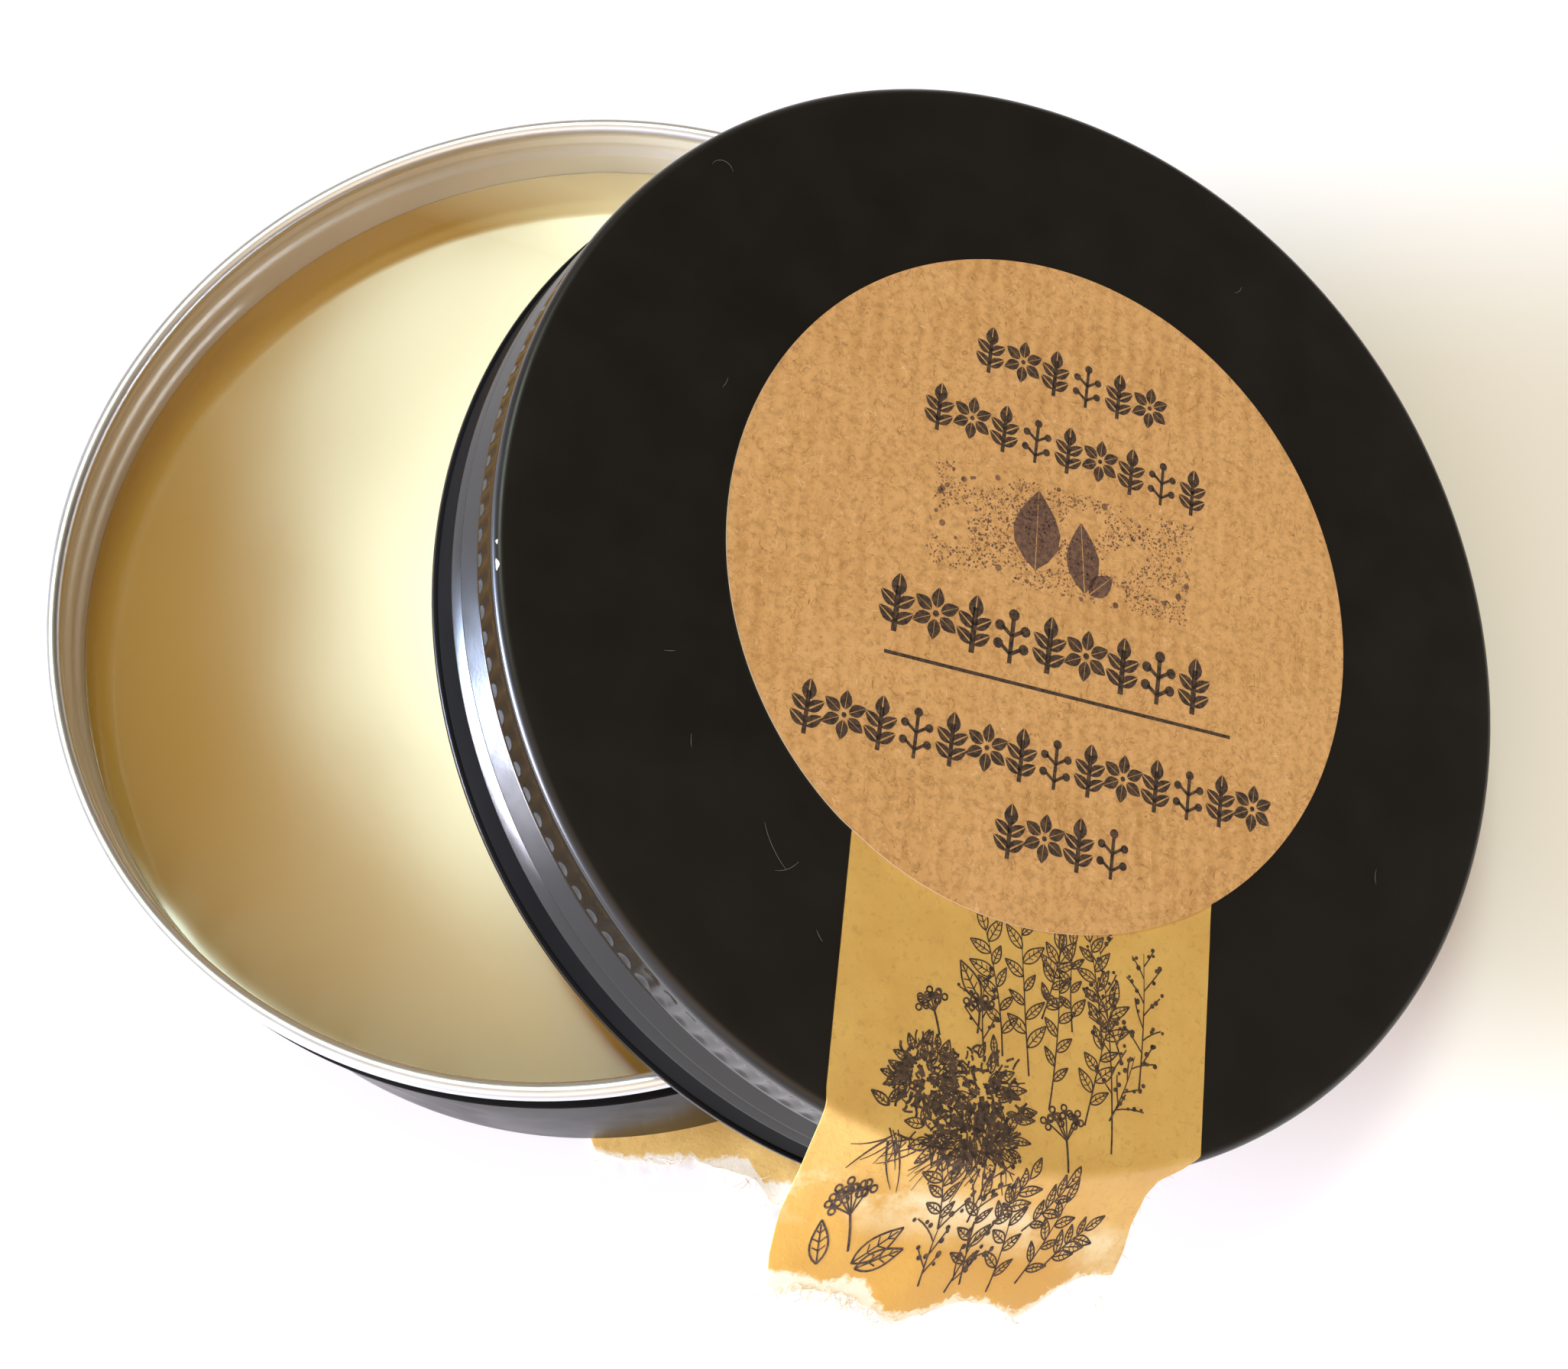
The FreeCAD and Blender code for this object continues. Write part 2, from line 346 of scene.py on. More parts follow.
def kraft():
    """Ribbed brown paper with fine grain, and dark and pale fibres."""
    m = Nodes("label_kraft").set(Roughness=0.82, IOR=1.4)
    ribs = m.tree.nodes.new("ShaderNodeTexWave")
    ribs.bands_direction = "X"
    m.put(ribs, "Vector", m.stretch((1, 1, 1), math.radians(-4)))
    ribs.inputs["Scale"].default_value = 208
    ribs.inputs["Distortion"].default_value = 3.2
    ribs.inputs["Detail"].default_value = 3
    ribs.inputs["Detail Scale"].default_value = 1.1
    patch = m.ramp(m.noise(75, 3), (0.36, 0.35), (0.64, 1.0))
    base = m.mix(m.math("MULTIPLY", ribs.outputs["Fac"], patch), (0.74, 0.445, 0.195), (0.62, 0.355, 0.14))
    base = m.mix(m.ramp(m.noise(210, 5, 0.7), (0.36, 0.55), (0.6, 0.0)), base, (0.80, 0.50, 0.235))
    base = m.mix(m.ramp(m.noise(1500, 5, 0.75), (0.46, 0.0), (0.68, 0.7)), base, (0.40, 0.215, 0.08))
    # fibres follow level lines of one noise, and a second one breaks them into short lengths
    strand = m.noise(520, 2, 0.5, vector=m.stretch((1, 0.75, 1), 0.5), distort=2.4)
    broken = m.noise(900, 2)
    dark = m.ramp(strand, (0.478, 0.0), (0.492, 1.0), (0.506, 0.0))
    dark = m.math("MULTIPLY", dark, m.ramp(broken, (0.46, 0.0), (0.54, 0.8)))
    base = m.mix(dark, base, (0.30, 0.15, 0.055))
    pale = m.ramp(strand, (0.552, 0.0), (0.570, 1.0), (0.588, 0.0))
    pale = m.math("MULTIPLY", pale, m.ramp(broken, (0.40, 0.7), (0.50, 0.0)))
    base = m.mix(pale, base, (0.88, 0.62, 0.36))
    m.link(base, "Base Color")
    relief = m.math("ADD", m.math("MULTIPLY", ribs.outputs["Fac"], 0.5), m.noise(700, 5, 0.7))
    m.bump(relief, 0.00005, 0.6)
    return m.material


def ochre():
    """Yellow-brown coated paper with a pale torn edge.

    Past the lid's edge it is painted darker and more orange as shade on the hanging flap, and a painted pale
    sheen runs along its fold there.
    """
    m = Nodes("seal_paper").set(Roughness=0.6, IOR=1.45, Subsurface_Weight=0.2, Subsurface_Scale=0.0006,
                                Coat_Weight=0.6, Coat_Roughness=0.33)
    m.shader.inputs["Subsurface Radius"].default_value = (1.0, 0.6, 0.3)
    cloud = m.noise(220, 5, 0.65)
    grain = m.noise(1800, 4, 0.7, distort=0.5)
    paper = m.ramp(cloud, (0.3, (0.70, 0.42, 0.115)), (0.7, (0.82, 0.53, 0.16)))
    paper = m.mix(m.ramp(grain, (0.54, 0.0), (0.76, 0.6)), paper, (0.46, 0.25, 0.07))
    # 0 at the lid's edge, 41.5 mm towards -Y, and 1 at 5 mm past it
    past = m.rise(-0.0415, m.axis("Y"), 200)
    # painted shade: the paper that hangs past the lid's edge is coloured darker and more orange
    paper = m.mix(m.ramp(past, (0.0, 0.0), (0.8, 0.85)), paper, (0.60, 0.335, 0.050))
    # painted sheen: a pale patchy band along the fold stands for its highlight
    painted_sheen = m.ramp(past, (0.05, 0.0), (0.3, 1.0), (0.85, 0.0))
    painted_sheen = m.math("MULTIPLY", painted_sheen, m.ramp(cloud, (0.42, 0.0), (0.6, 0.9)))
    paper = m.mix(painted_sheen, paper, (0.93, 0.80, 0.55))
    torn = m.math("ADD", m.attribute("torn"), m.rise(grain, 0.5, 1.1))
    torn = m.ramp(torn, (0.30, 0.0), (0.62, 1.0))
    m.link(m.mix(torn, paper, (0.93, 0.84, 0.66)), "Base Color")
    m.bump(m.math("ADD", m.noise(500, 5, 0.7), m.math("MULTIPLY", grain, 0.5)), 0.00007, 0.55)
    return m.material


def ink(name, dark, worn):
    """Matt ink, worn thin in fine spots."""
    m = Nodes(name).set(Roughness=0.75)
    m.link(m.ramp(m.noise(2600, 4, 0.7), (0.38, dark), (0.66, worn)), "Base Color")
    return m.material


def plain(name, colour, roughness, grain):
    """A matt surface with a slight grain."""
    m = Nodes(name).set(Roughness=roughness)
    dark = tuple(c * 0.92 for c in colour)
    m.link(m.ramp(m.noise(grain, 4), (0.3, dark), (0.7, colour)), "Base Color")
    m.bump(m.noise(grain * 6, 3), 0.00002, 0.4)
    return m.material


BLACK = lacquer("black_lacquer", 0.34, 0.05)
SIDE_BLACK = lacquer("black_lacquer_side", 0.12, 0.05)
CAN_BLACK = lacquer("black_lacquer_can", 0.2, 0.05, gloss=0.012)
SILVER = aluminium()
WAX = wax()
KRAFT = kraft()
OCHRE = ochre()
INK = ink("print_ink", (0.018, 0.013, 0.015), (0.13, 0.08, 0.05))
STAMPED = ink("stamp_ink_dark", (0.095, 0.055, 0.055), (0.24, 0.135, 0.09))
FAINT = ink("stamp_ink", (0.17, 0.10, 0.075), (0.34, 0.19, 0.10))
FOAM = plain("liner_foam", (0.80, 0.78, 0.72), 0.9, 300)
CREAM = plain("paper_core", (0.90, 0.80, 0.62), 0.9, 900)
LINT = plain("lint", (0.2, 0.195, 0.18), 0.9, 900)


# ---- base can ------------------------------------------------------------------------------------
RIM_TUBE = 0.65             # radius of the rolled rim's section
RIM_C = (BASE_R - RIM_TUBE, BASE_H - RIM_TUBE)
NECK = RIM_C[0] - 0.05      # outside radius of the neck
NECK_FROM = 19.5            # the wall is straight above this height
FOOT = NECK - 0.6           # outside radius over the bottom corner
CORNER = 3.0                # bottom corner, outside
THREAD_LOW = 21.95
THREAD_PITCH = 2.2
THREAD_SPAN = 1.25 * TAU
THREAD_START = math.radians(142)
THREAD_HALF = 1.05          # half the width of a turn
THREAD_OUTSIDE = 0.6        # how far it pushes out the wall's outer face
THREAD_INSIDE = 0.3         # and its inner face
THREAD_END = 0.07           # radians over which it fades out


def thread(turn, rows):
    """How far the rolled thread pushes the neck outwards, at every angle and profile row."""
    out = np.zeros((len(rows), len(turn)))
    z = rows[:, 1:]
    depth = np.where(rows[:, :1] > NECK - 0.1, THREAD_OUTSIDE, THREAD_INSIDE)
    on_neck = ((rows[:, 0] > NECK - 0.5) & (rows[:, 0] < NECK + 0.1) & (rows[:, 1] < RIM_C[1] - 0.3))[:, None]
    for lap in range(2):
        a = (turn - THREAD_START) % TAU + lap * TAU
        centre = THREAD_LOW + THREAD_PITCH * a / TAU
        ends = smooth(a, 0, THREAD_END) * smooth(THREAD_SPAN - a, 0, THREAD_END)
        d = np.abs(z - centre)
        out += depth * ends * (0.5 + 0.5 * np.cos(np.pi * np.clip(d / THREAD_HALF, 0, 1)))
    return out * on_neck


def base_profile():
    """The can's section, and the number of its points that lie outside, under the rim."""
    corner = (FOOT - CORNER, CORNER)
    rows = np.arange(NECK_FROM + 0.5, RIM_C[1] - RIM_TUBE, 0.09)
    outside = [(0, 0), (12, 0), (24, 0)] + arc(corner, CORNER, -90, 0, 12) + [(NECK, NECK_FROM)]
    outside += [(NECK, z) for z in rows]
    curl = arc(RIM_C, RIM_TUBE, -94, 232, 34)
    inside = [(NECK - SHEET, z) for z in rows[::-1]] + [(NECK - SHEET, NECK_FROM)]
    inside += arc(corner, CORNER - SHEET, 0, -90, 8) + [(24, SHEET), (12, SHEET), (0, SHEET)]
    return outside + curl + inside, len(outside)


profile, silver_from = base_profile()
verts, faces, row = lathe(profile, 720, shift=thread)
can = piece("base_can_skin", verts, faces, [CAN_BLACK, SILVER], "tin_base",
            face_material=np.where(row >= silver_from, 1, 0), sharp=75)
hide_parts("base_can")


# ---- wax -----------------------------------------------------------------------------------------
def wax_lift(turn, r):
    """A poured surface: almost flat, with a slightly uneven edge."""
    out = np.zeros(r.shape)
    for i in range(r.shape[0]):
        for j in range(r.shape[1]):
            p = Vector((r[i, j] * math.cos(turn[j]), r[i, j] * math.sin(turn[j]), 0))
            out[i, j] = 0.05 * noise.noise(p / 14)
            edge = smooth(r[i, j], 34.0, 38.0)
            out[i, j] += edge * 0.02 * noise.noise(p / 3.1)
    return out


WAX_GAP = 0.02              # clearance to the can
wall = NECK - SHEET - WAX_GAP
floor_z = SHEET + WAX_GAP
surface = [(0, WAX_TOP)] + [(r, WAX_TOP) for r in np.arange(1.5, 36.4, 1.5)]
surface += [(wall - 1.2 + 1.2 * t, WAX_TOP + 0.04 * t ** 2.4) for t in np.linspace(0, 1, 8)]
upper = len(surface)
surface += [(wall, NECK_FROM), (FOOT - SHEET - WAX_GAP, CORNER), (FOOT - CORNER, floor_z), (0, floor_z)]


def wax_top_only(turn, r):
    """As wax_lift, but nothing below the surface's edge moves."""
    out = wax_lift(turn, r)
    out[upper - 1:, :] = 0
    return out


verts, faces, row = lathe(surface, 288, lift=wax_top_only)
fill = piece("wax_surface", verts, faces, [WAX], "tin_base", sharp=60)
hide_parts("wax_fill")


# ---- lid shell -----------------------------------------------------------------------------------
TOP_R = LID_R - 0.8         # over the knurled band
ROUND = 0.7                 # rounding of the top edge
EDGE = (TOP_R - ROUND, LID_H - ROUND)
FLUTES = 144                # scallops round the knurled band
FLUTE_DEPTH = 0.13
LOW_BAND = 3.3              # the plain band lies under this height
# numbers of points on the section
TOP_ROWS = 12               # the flat top, with the first part of its rounded edge
CURL_SHOWN = 12             # the part of the curled edge that shows from outside
CURL_HIDDEN = 5             # its last points, which face the can


def flutes(turn, rows):
    """The shallow scallops pressed into the knurled band."""
    z = rows[:, 1:]
    outside = (rows[:, 0] > TOP_R - 0.05)[:, None]
    phase = (turn * FLUTES / TAU) % 1
    across = np.clip(1 - (np.abs(phase - 0.5) / 0.36) ** 2, 0, None)
    along = smooth(z, 8.95, 9.5) * (1 - smooth(z, 10.9, 11.35))
    return -FLUTE_DEPTH * across * along * outside


def lid_profile():
    """The lid's section: top, edge, knurl, bands and curled lower edge, then back up inside.

    Returns it with the number of its points that lie outside.
    """
    c = TOP_R
    bands = [(c, 9.0), (c, 8.6), (c - 0.35, 8.35), (c - 0.2, 8.1), (c - 0.4, 7.9), (c - 0.25, 7.7),
             (c - 0.62, 7.55), (c + 0.28, 5.6), (c - 0.52, 5.35), (c - 0.45, 5.15), (c + 0.32, 3.5),
             (c, LOW_BAND), (c + 0.5, 1.0)]
    lining = [(c + 0.15, 1.0), (c - 0.05, 2.9), (c - 0.45, 3.2), (c - 0.1, 3.6), (c - 0.8, 5.1),
              (c - 0.9, 5.35), (c - 0.15, 5.7), (c - 0.97, 7.5), (c - 0.65, 7.8), (c - 0.5, 8.0),
              (c - 0.65, 8.3), (c - SHEET, 8.6)]
    top = [(0, LID_H), (10, LID_H), (20, LID_H), (30, LID_H), (36, LID_H), (39, LID_H)]
    knurl = [(c, z) for z in np.arange(LID_H - ROUND - 0.2, 8.95, -0.2)]
    curl = arc((LID_R - 0.5, 0.5), 0.5, 75, -255, 20)
    under = arc(EDGE, ROUND - SHEET, 0, 90, 4)
    roof = [(30, LID_H - SHEET), (0, LID_H - SHEET)]
    outer = top + arc(EDGE, ROUND, 90, 0, 9) + knurl + rounded(bands, 0.2)
    return outer + curl + rounded(lining, 0.1, 2) + under + roof, len(outer + curl) - CURL_HIDDEN


profile, inner_from = lid_profile()
verts, faces, row = lathe(profile, FLUTES * 10, shift=flutes)
low_rows = next(i for i in range(inner_from) if profile[i][1] < LOW_BAND)
# the finish of each part outside, in order: top, side, plain band and curled edge
outside_rows = [row < TOP_ROWS, row < low_rows, row < inner_from - CURL_SHOWN, row < inner_from]
finish = np.select(outside_rows, [0, 1, 3, 1], default=2)
shell = piece("lid_skin", verts, faces, [BLACK, SIDE_BLACK, SILVER, CAN_BLACK], "lid", at=LID_FRAME,
              face_material=finish)
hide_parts("lid_shell")


# ---- seal strip on the lid -----------------------------------------------------------------------
STRIP_TURN = math.radians(2.2)
STRIP_START = -15.5         # its hidden end, under the label
STRIP_DROP = math.radians(45)
TAPE = 0.09                 # thickness
LABEL_LIFT = TAPE + 0.015


def strip_point(x, y, lift):
    """Where a point (x, y) of the strip's plan lies in the lid's frame once it is stuck over the edge."""
    r = math.hypot(x, y)
    bend_end = EDGE[0] + ROUND * math.sin(STRIP_DROP)
    if r <= EDGE[0]:
        tilt, height = 0.0, LID_H
    elif r <= bend_end:
        tilt = math.asin((r - EDGE[0]) / ROUND)
        height = EDGE[1] + ROUND * math.cos(tilt)
    else:
        tilt = STRIP_DROP
        height = EDGE[1] + ROUND * math.cos(STRIP_DROP) - (r - bend_end) * math.tan(STRIP_DROP)
    loose = smooth(r, EDGE[0] + 0.6, EDGE[0] + 7)
    p = Vector((x, y, 0))
    lift += float(loose) * (0.35 * noise.noise(p / 5.5 + Vector((3, 1, 7))) + 0.22)
    lift += 0.03 * noise.noise(p / 2.2)
    if r < EDGE[0] + 0.3:
        lift = max(lift, 0.0)
    reach = r + lift * math.sin(tilt)
    height += lift * math.cos(tilt)
    c, s = math.cos(STRIP_TURN), math.sin(STRIP_TURN)
    u, v = x / r * reach, y / r * reach
    return (u * c - v * s, u * s + v * c, height)


# the strip's sides as (y, x), and the torn ends of its coating and of its white ply as (x, y)
LEFT_EDGE = [(-60, -10.9), (-49.3, -11.5), (-47.0, -12.4), (-44.5, -12.95), (-42.0, -12.9), (-39.0, -12.95),
             (-37.0, -13.15), (-10, -13.1)]
RIGHT_EDGE = [(-60, 12.8), (-45.1, 12.7), (-43.6, 12.6), (-42.0, 12.1), (-40.2, 12.1), (-39.2, 12.6),
              (-38.2, 14.2), (-37.3, 15.3), (-10, 15.3)]
TEAR = [(-13.5, -48.6), (-11.4, -49.3), (-10.4, -48.8), (-7.0, -48.9), (-4.4, -49.6), (-3.2, -50.0),
        (-0.4, -49.0), (1.2, -48.3), (3.8, -48.1), (6.2, -48.8), (7.6, -47.6), (9.0, -46.1), (10.4, -45.4),
        (13.5, -45.1)]
PLY = [(-13.5, -47.6), (-11.4, -47.9), (-10.4, -47.7), (-8.2, -48.2), (-7.0, -47.6), (-5.6, -47.8),
       (-4.4, -48.6), (-3.2, -49.4), (-0.4, -48.8), (1.2, -47.9), (3.8, -47.8), (6.2, -48.3), (7.6, -47.2),
       (9.0, -45.8), (10.4, -45.2), (13.5, -44.9)]


def along_line(points, x):
    """The second coordinate of a line of points where its first is x."""
    xs, ys = zip(*points)
    return float(np.interp(x, xs, ys))


def tear_noise(x, seed):
    """The fine raggedness of a torn edge, in mm."""
    return 0.16 * noise.noise(Vector((x * 1.3, seed, 0))) + 0.10 * noise.noise(Vector((x * 4.1, seed, 5)))


def strip_mesh():
    """The strip's points, faces and how torn each point is, from 0 to 1."""
    cols, rows = 110, 150
    verts, torn = [], []
    for side in (TAPE, 0.005):
        for j in range(rows + 1):
            for i in range(cols + 1):
                s = i / cols
                guess = -12.6 + s * 25.2
                end = along_line(TEAR, guess) + tear_noise(guess, 1.0)
                y = STRIP_START + (end - STRIP_START) * (j / rows) ** 0.92
                x = along_line(LEFT_EDGE, y) * (1 - s) + along_line(RIGHT_EDGE, y) * s
                ply = along_line(PLY, x) + 2 * tear_noise(x, 2.0)
                torn.append(max(0.0, min(1.0, 0.35 + (ply - y) * 0.9)) if y < -43 else 0.0)
                thin = side if y > ply else side * 0.6
                verts.append(strip_point(x, y, thin))
    return verts, sheet_faces(cols, rows), torn


def torn_paper(name, mesh, body, at=BASE_FRAME):
    verts, faces, torn = mesh
    obj = piece(name, verts, faces, [OCHRE], body, at=at, sharp=60)
    obj.data.attributes.new("torn", "FLOAT", "POINT").data.foreach_set("value", torn)
    return obj


strip = torn_paper("lid_strip", strip_mesh(), "lid", at=LID_FRAME)
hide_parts("lid_seal_tape")


# ---- label ---------------------------------------------------------------------------------------
LABEL_R = 25.4              # a 2 inch label
LABEL_AT = (0.7, 1.39)      # its centre on the lid
LABEL_T = 0.16              # thickness


def label_height(x, y):
    """Underside of the label over the lid's top at (x, y): it rides up over the strip."""
    c, s = math.cos(STRIP_TURN), math.sin(STRIP_TURN)
    u, v = x * c + y * s, -x * s + y * c
    over = smooth(u, -14.3, -12.9) * (1 - smooth(u, 15.1, 16.5)) * (1 - smooth(v, -15.6, -14.4))
    return LID_H + 0.005 + LABEL_LIFT * float(over)


def label_mesh():
    """A disc that rides up over the strip. Its cut edge has the second material."""
    rings, segs = 52, 360
    verts, faces, mats = [], [], []
    for top in (1, 0):
        for i in range(1, rings + 1):
            r = LABEL_R * i / rings
            for j in range(segs):
                x = LABEL_AT[0] + r * math.cos(TAU * j / segs)
                y = LABEL_AT[1] + r * math.sin(TAU * j / segs)
                verts.append((x, y, label_height(x, y) + top * LABEL_T))
    layer = rings * segs
    for top, first in ((1, 0), (0, layer)):
        verts.append((*LABEL_AT, label_height(*LABEL_AT) + top * LABEL_T))
        hub = len(verts) - 1
        for j in range(segs):
            faces.append((hub, first + j, first + (j + 1) % segs))
            mats.append(0)
        for i in range(rings - 1):
            a, b = first + i * segs, first + (i + 1) * segs
            for j in range(segs):
                k = (j + 1) % segs
                faces.append((a + j, b + j, b + k, a + k))
                mats.append(0)
    rim = (rings - 1) * segs
    for j in range(segs):
        k = (j + 1) % segs
        faces.append((rim + j, rim + layer + j, rim + layer + k, rim + k))
        mats.append(1)
    return verts, faces, mats


verts, faces, mats = label_mesh()
label = piece("lid_label_paper", verts, faces, [KRAFT, CREAM], "lid", at=LID_FRAME, face_material=mats)
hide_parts("lid_label")


# ---- seal strip on the base ----------------------------------------------------------------------
# how far out it reaches from the base's axis, as (sideways, out)
STUB_OUT = [(-14.4, 36.2), (-12.3, 37.9), (-10.0, 38.6), (-7.4, 39.7), (-5.0, 41.6), (-3.2, 43.0),
            (-2.7, 45.2), (0.5, 46.6), (3.8, 45.2), (7.8, 46.2), (11.0, 44.4), (14.2, 45.0)]
STUB_FROM = 36.3            # distance from the base's axis to its hidden end
STUB_TURN = math.radians(-61)


def stub_point(s, t, lift):
    """A point s out from the base's axis and t sideways. The paper lifts off the table further out."""
    r = math.hypot(s, t)
    corner = 0.275 * float(smooth(-r, -38.4, -36.6))
    wave = 0.22 * (0.5 + noise.noise(Vector((s, t, 2)) / 4.0)) * float(smooth(r, 38.5, 42))
    c, sn = math.cos(STUB_TURN), math.sin(STUB_TURN)
    return (s * c - t * sn, s * sn + t * c, 0.08 + lift + corner + wave)


def stub_mesh():
    """As strip_mesh, for the end that lies under the base's corner."""
    cols, rows = 120, 44
    verts, torn = [], []
    for side in (TAPE, 0.0):
        for i in range(cols + 1):
            t = -14.3 + 28.4 * i / cols
            start = math.sqrt(STUB_FROM ** 2 - t * t)
            end = max(along_line(STUB_OUT, t) + 1.6 * tear_noise(t, 9.0), start + 0.3)
            for j in range(rows + 1):
                s = start + (end - start) * j / rows
                ply = end - 0.5 - 1.4 * float(smooth(t, -7, -3)) + tear_noise(t, 4.0)
                torn.append(max(0.0, min(1.0, 0.35 + (s - ply) * 0.8)))
                verts.append(stub_point(s, t, side))
    return verts, sheet_faces(rows, cols), torn


stub = torn_paper("base_strip", stub_mesh(), "tin_base")
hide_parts("base_seal_tape")


# ---- printed ink, drawn as thin raised strokes ---------------------------------------------------
INK_THICK = 0.02            # how far the ink stands off the paper


class Print:
    """Strokes and filled shapes on a surface. place(x, y, lift) says where a plan point lies."""

    def __init__(self, place):
        self.place = place
        self.verts = []
        self.faces = []

    def shape(self, outline):
        """A filled outline."""
        n, first = len(outline), len(self.verts)
        for lift in (INK_THICK, 0.0):
            self.verts += [self.place(x, y, lift) for x, y in outline]
        self.faces.append(tuple(range(first, first + n)))
        self.faces.append(tuple(range(first + 2 * n - 1, first + n - 1, -1)))
        for i in range(n):
            j = (i + 1) % n
            self.faces.append((first + i, first + n + i, first + n + j, first + j))

    def stroke(self, points, width, taper=False):
        """A line of the given width, which thins towards its end if it tapers."""
        p = np.array(points, float)
        d = np.gradient(p, axis=0)
        d /= np.linalg.norm(d, axis=1)[:, None] + 1e-9
        side = np.stack([-d[:, 1], d[:, 0]], 1)
        first, n = len(self.verts), len(p)
        for i in range(n):
            w = width * (0.5 if not taper else 0.5 - 0.36 * i / (n - 1))
            a, b = p[i] + side[i] * w, p[i] - side[i] * w
            self.verts += [self.place(*a, INK_THICK), self.place(*b, INK_THICK)]
            self.verts += [self.place(*b, 0.0), self.place(*a, 0.0)]
        for i in range(n - 1):
            q = first + 4 * i
            for s in range(4):
                t = (s + 1) % 4
                self.faces.append((q + s, q + t, q + 4 + t, q + 4 + s))
        self.faces.append((first + 3, first + 2, first + 1, first))
        last = first + 4 * (n - 1)
        self.faces.append((last, last + 1, last + 2, last + 3))

    def disc(self, x, y, r, sides=8):
        turn = [TAU * i / sides for i in range(sides)]
        self.shape([(x + r * math.cos(a), y + r * math.sin(a)) for a in turn])

    def circle(self, x, y, r, width):
        turn = np.linspace(0, TAU, 11)
        self.stroke([(x + r * math.cos(a), y + r * math.sin(a)) for a in turn], width)

    def make(self, name, material):
        return piece(name, self.verts, self.faces, [material], "lid", at=LID_FRAME, sharp=80)


def bow(x, y, angle, length, bend, n=9):
    """A curved line of n points from (x, y)."""
    pts = [(x, y)]
    for i in range(n - 1):
        a = angle + bend * (i + 0.5) / (n - 1)
        pts.append((pts[-1][0] + length / (n - 1) * math.cos(a), pts[-1][1] + length / (n - 1) * math.sin(a)))
    return pts


def leaf(p, x, y, angle, length, plump, rng, line=0.1):
    """An outlined leaf with a midrib and a few veins."""
    c, s = math.cos(angle), math.sin(angle)

    def at(u, v):
        return (x + u * c - v * s, y + u * s + v * c)

    along = np.linspace(0, 1, 9)
    half = plump * length * np.sin(np.pi * along ** 0.8) * 0.5
    p.stroke([at(u * length, h) for u, h in zip(along, half)], line)
    p.stroke([at(u * length, -h) for u, h in zip(along, half)], line)
    p.stroke([at(0, 0), at(length * 0.45, 0.02), at(length * 0.9, 0)], line * 0.8)
    for k in (0.3, 0.5, 0.7):
        h = plump * length * math.sin(math.pi * k ** 0.8) * 0.36 * rng.uniform(0.8, 1.1)
        p.stroke([at(length * k, 0), at(length * (k + 0.1), h)], line * 0.6)
        p.stroke([at(length * k, 0), at(length * (k + 0.1), -h)], line * 0.6)


def branch(p, x, y, angle, length, rng, leaves=7, size=2.2, bend=0.4, line=0.1):
    """A stem with leaves to both sides and one at its tip."""
    stem = bow(x, y, angle, length, bend, 12)
    p.stroke(stem, line * 1.3, taper=True)
    for i in range(leaves):
        q = stem[2 + int(i * 9 / leaves)]
        side = 1 if i % 2 else -1
        a = angle + bend * i / leaves + side * rng.uniform(0.6, 1.0)
        leaf(p, *q, a, size * rng.uniform(0.75, 1.15), rng.uniform(0.34, 0.46), rng, line)
    leaf(p, *stem[-1], angle + bend, size, 0.4, rng, line)


def buds(p, x, y, angle, length, rng, twigs=6, line=0.11):
    """A thin twiggy stem with small buds."""
    stem = bow(x, y, angle, length, rng.uniform(-0.3, 0.3), 12)
    p.stroke(stem, line * 1.2, taper=True)
    for i in range(twigs):
        q = stem[2 + int(i * 9 / twigs)]
        a = angle + (1 if i % 2 else -1) * rng.uniform(0.5, 0.8)
        twig = bow(*q, a, rng.uniform(1.3, 2.4), rng.uniform(-0.5, 0.5), 5)
        p.stroke(twig, line * 0.9)
        for t in (2, 3, 4):
            b = rng.uniform(0.12, 0.2)
            p.disc(twig[t][0] + rng.uniform(-0.25, 0.25), twig[t][1] + rng.uniform(-0.2, 0.3), b, 7)


def umbel(p, x, y, angle, length, spread, rng, rays=6, line=0.13):
    """A stem that fans into a head of berries."""
    stem = bow(x, y, angle, length, 0.15, 7)
    p.stroke(stem, line * 1.2)
    for i in range(rays):
        a = angle + 0.15 + 1.5 * (i / (rays - 1) - 0.5)
        ray = bow(*stem[-1], a, spread * rng.uniform(0.8, 1.1), rng.uniform(-0.2, 0.2), 4)
        p.stroke(ray, line * 0.8)
        for k in range(3):
            b = TAU * k / 3 + i
            p.circle(ray[-1][0] + 0.32 * math.cos(b), ray[-1][1] + 0.32 * math.sin(b), 0.21, line)
        p.disc(*ray[-1], 0.2, 7)


def foliage(p, x, y, wide, tall, rng):
    """A dense dark clump of short curved marks and overlapping small leaves."""
    for _ in range(150):
        a, r = rng.uniform(0, TAU), rng.uniform(0, 1) ** 0.6
        px, py = x + wide * r * math.cos(a), y + tall * r * math.sin(a)
        p.stroke(bow(px, py, a + rng.uniform(-1.2, 1.2), rng.uniform(0.3, 1.0), rng.uniform(-1.6, 1.6), 4),
                 rng.uniform(0.12, 0.34) * (1.15 - 0.6 * r))
    for _ in range(30):
        a, r = rng.uniform(0, TAU), rng.uniform(0.3, 1.0)
        leaf(p, x + wide * r * math.cos(a), y + tall * r * math.sin(a), a + rng.uniform(-0.6, 0.6),
             rng.uniform(0.9, 1.7), rng.uniform(0.35, 0.5), rng, 0.1)


def roots(p, x, y, wide, rng):
    """Fine strands that sweep down and sideways under a clump."""
    for _ in range(60):
        a = rng.uniform(-2.9, -0.25)
        p.stroke(bow(x + rng.uniform(-0.5, 0.5) * wide, y + rng.uniform(-0.5, 0.5), a, rng.uniform(1.0, 3.2),
                     rng.uniform(-0.8, 0.8), 6), rng.uniform(0.07, 0.2), taper=True)


def on_strip(x, y, lift):
    return strip_point(x, y, TAPE + lift)


rng = random.Random(11)
art = Print(on_strip)
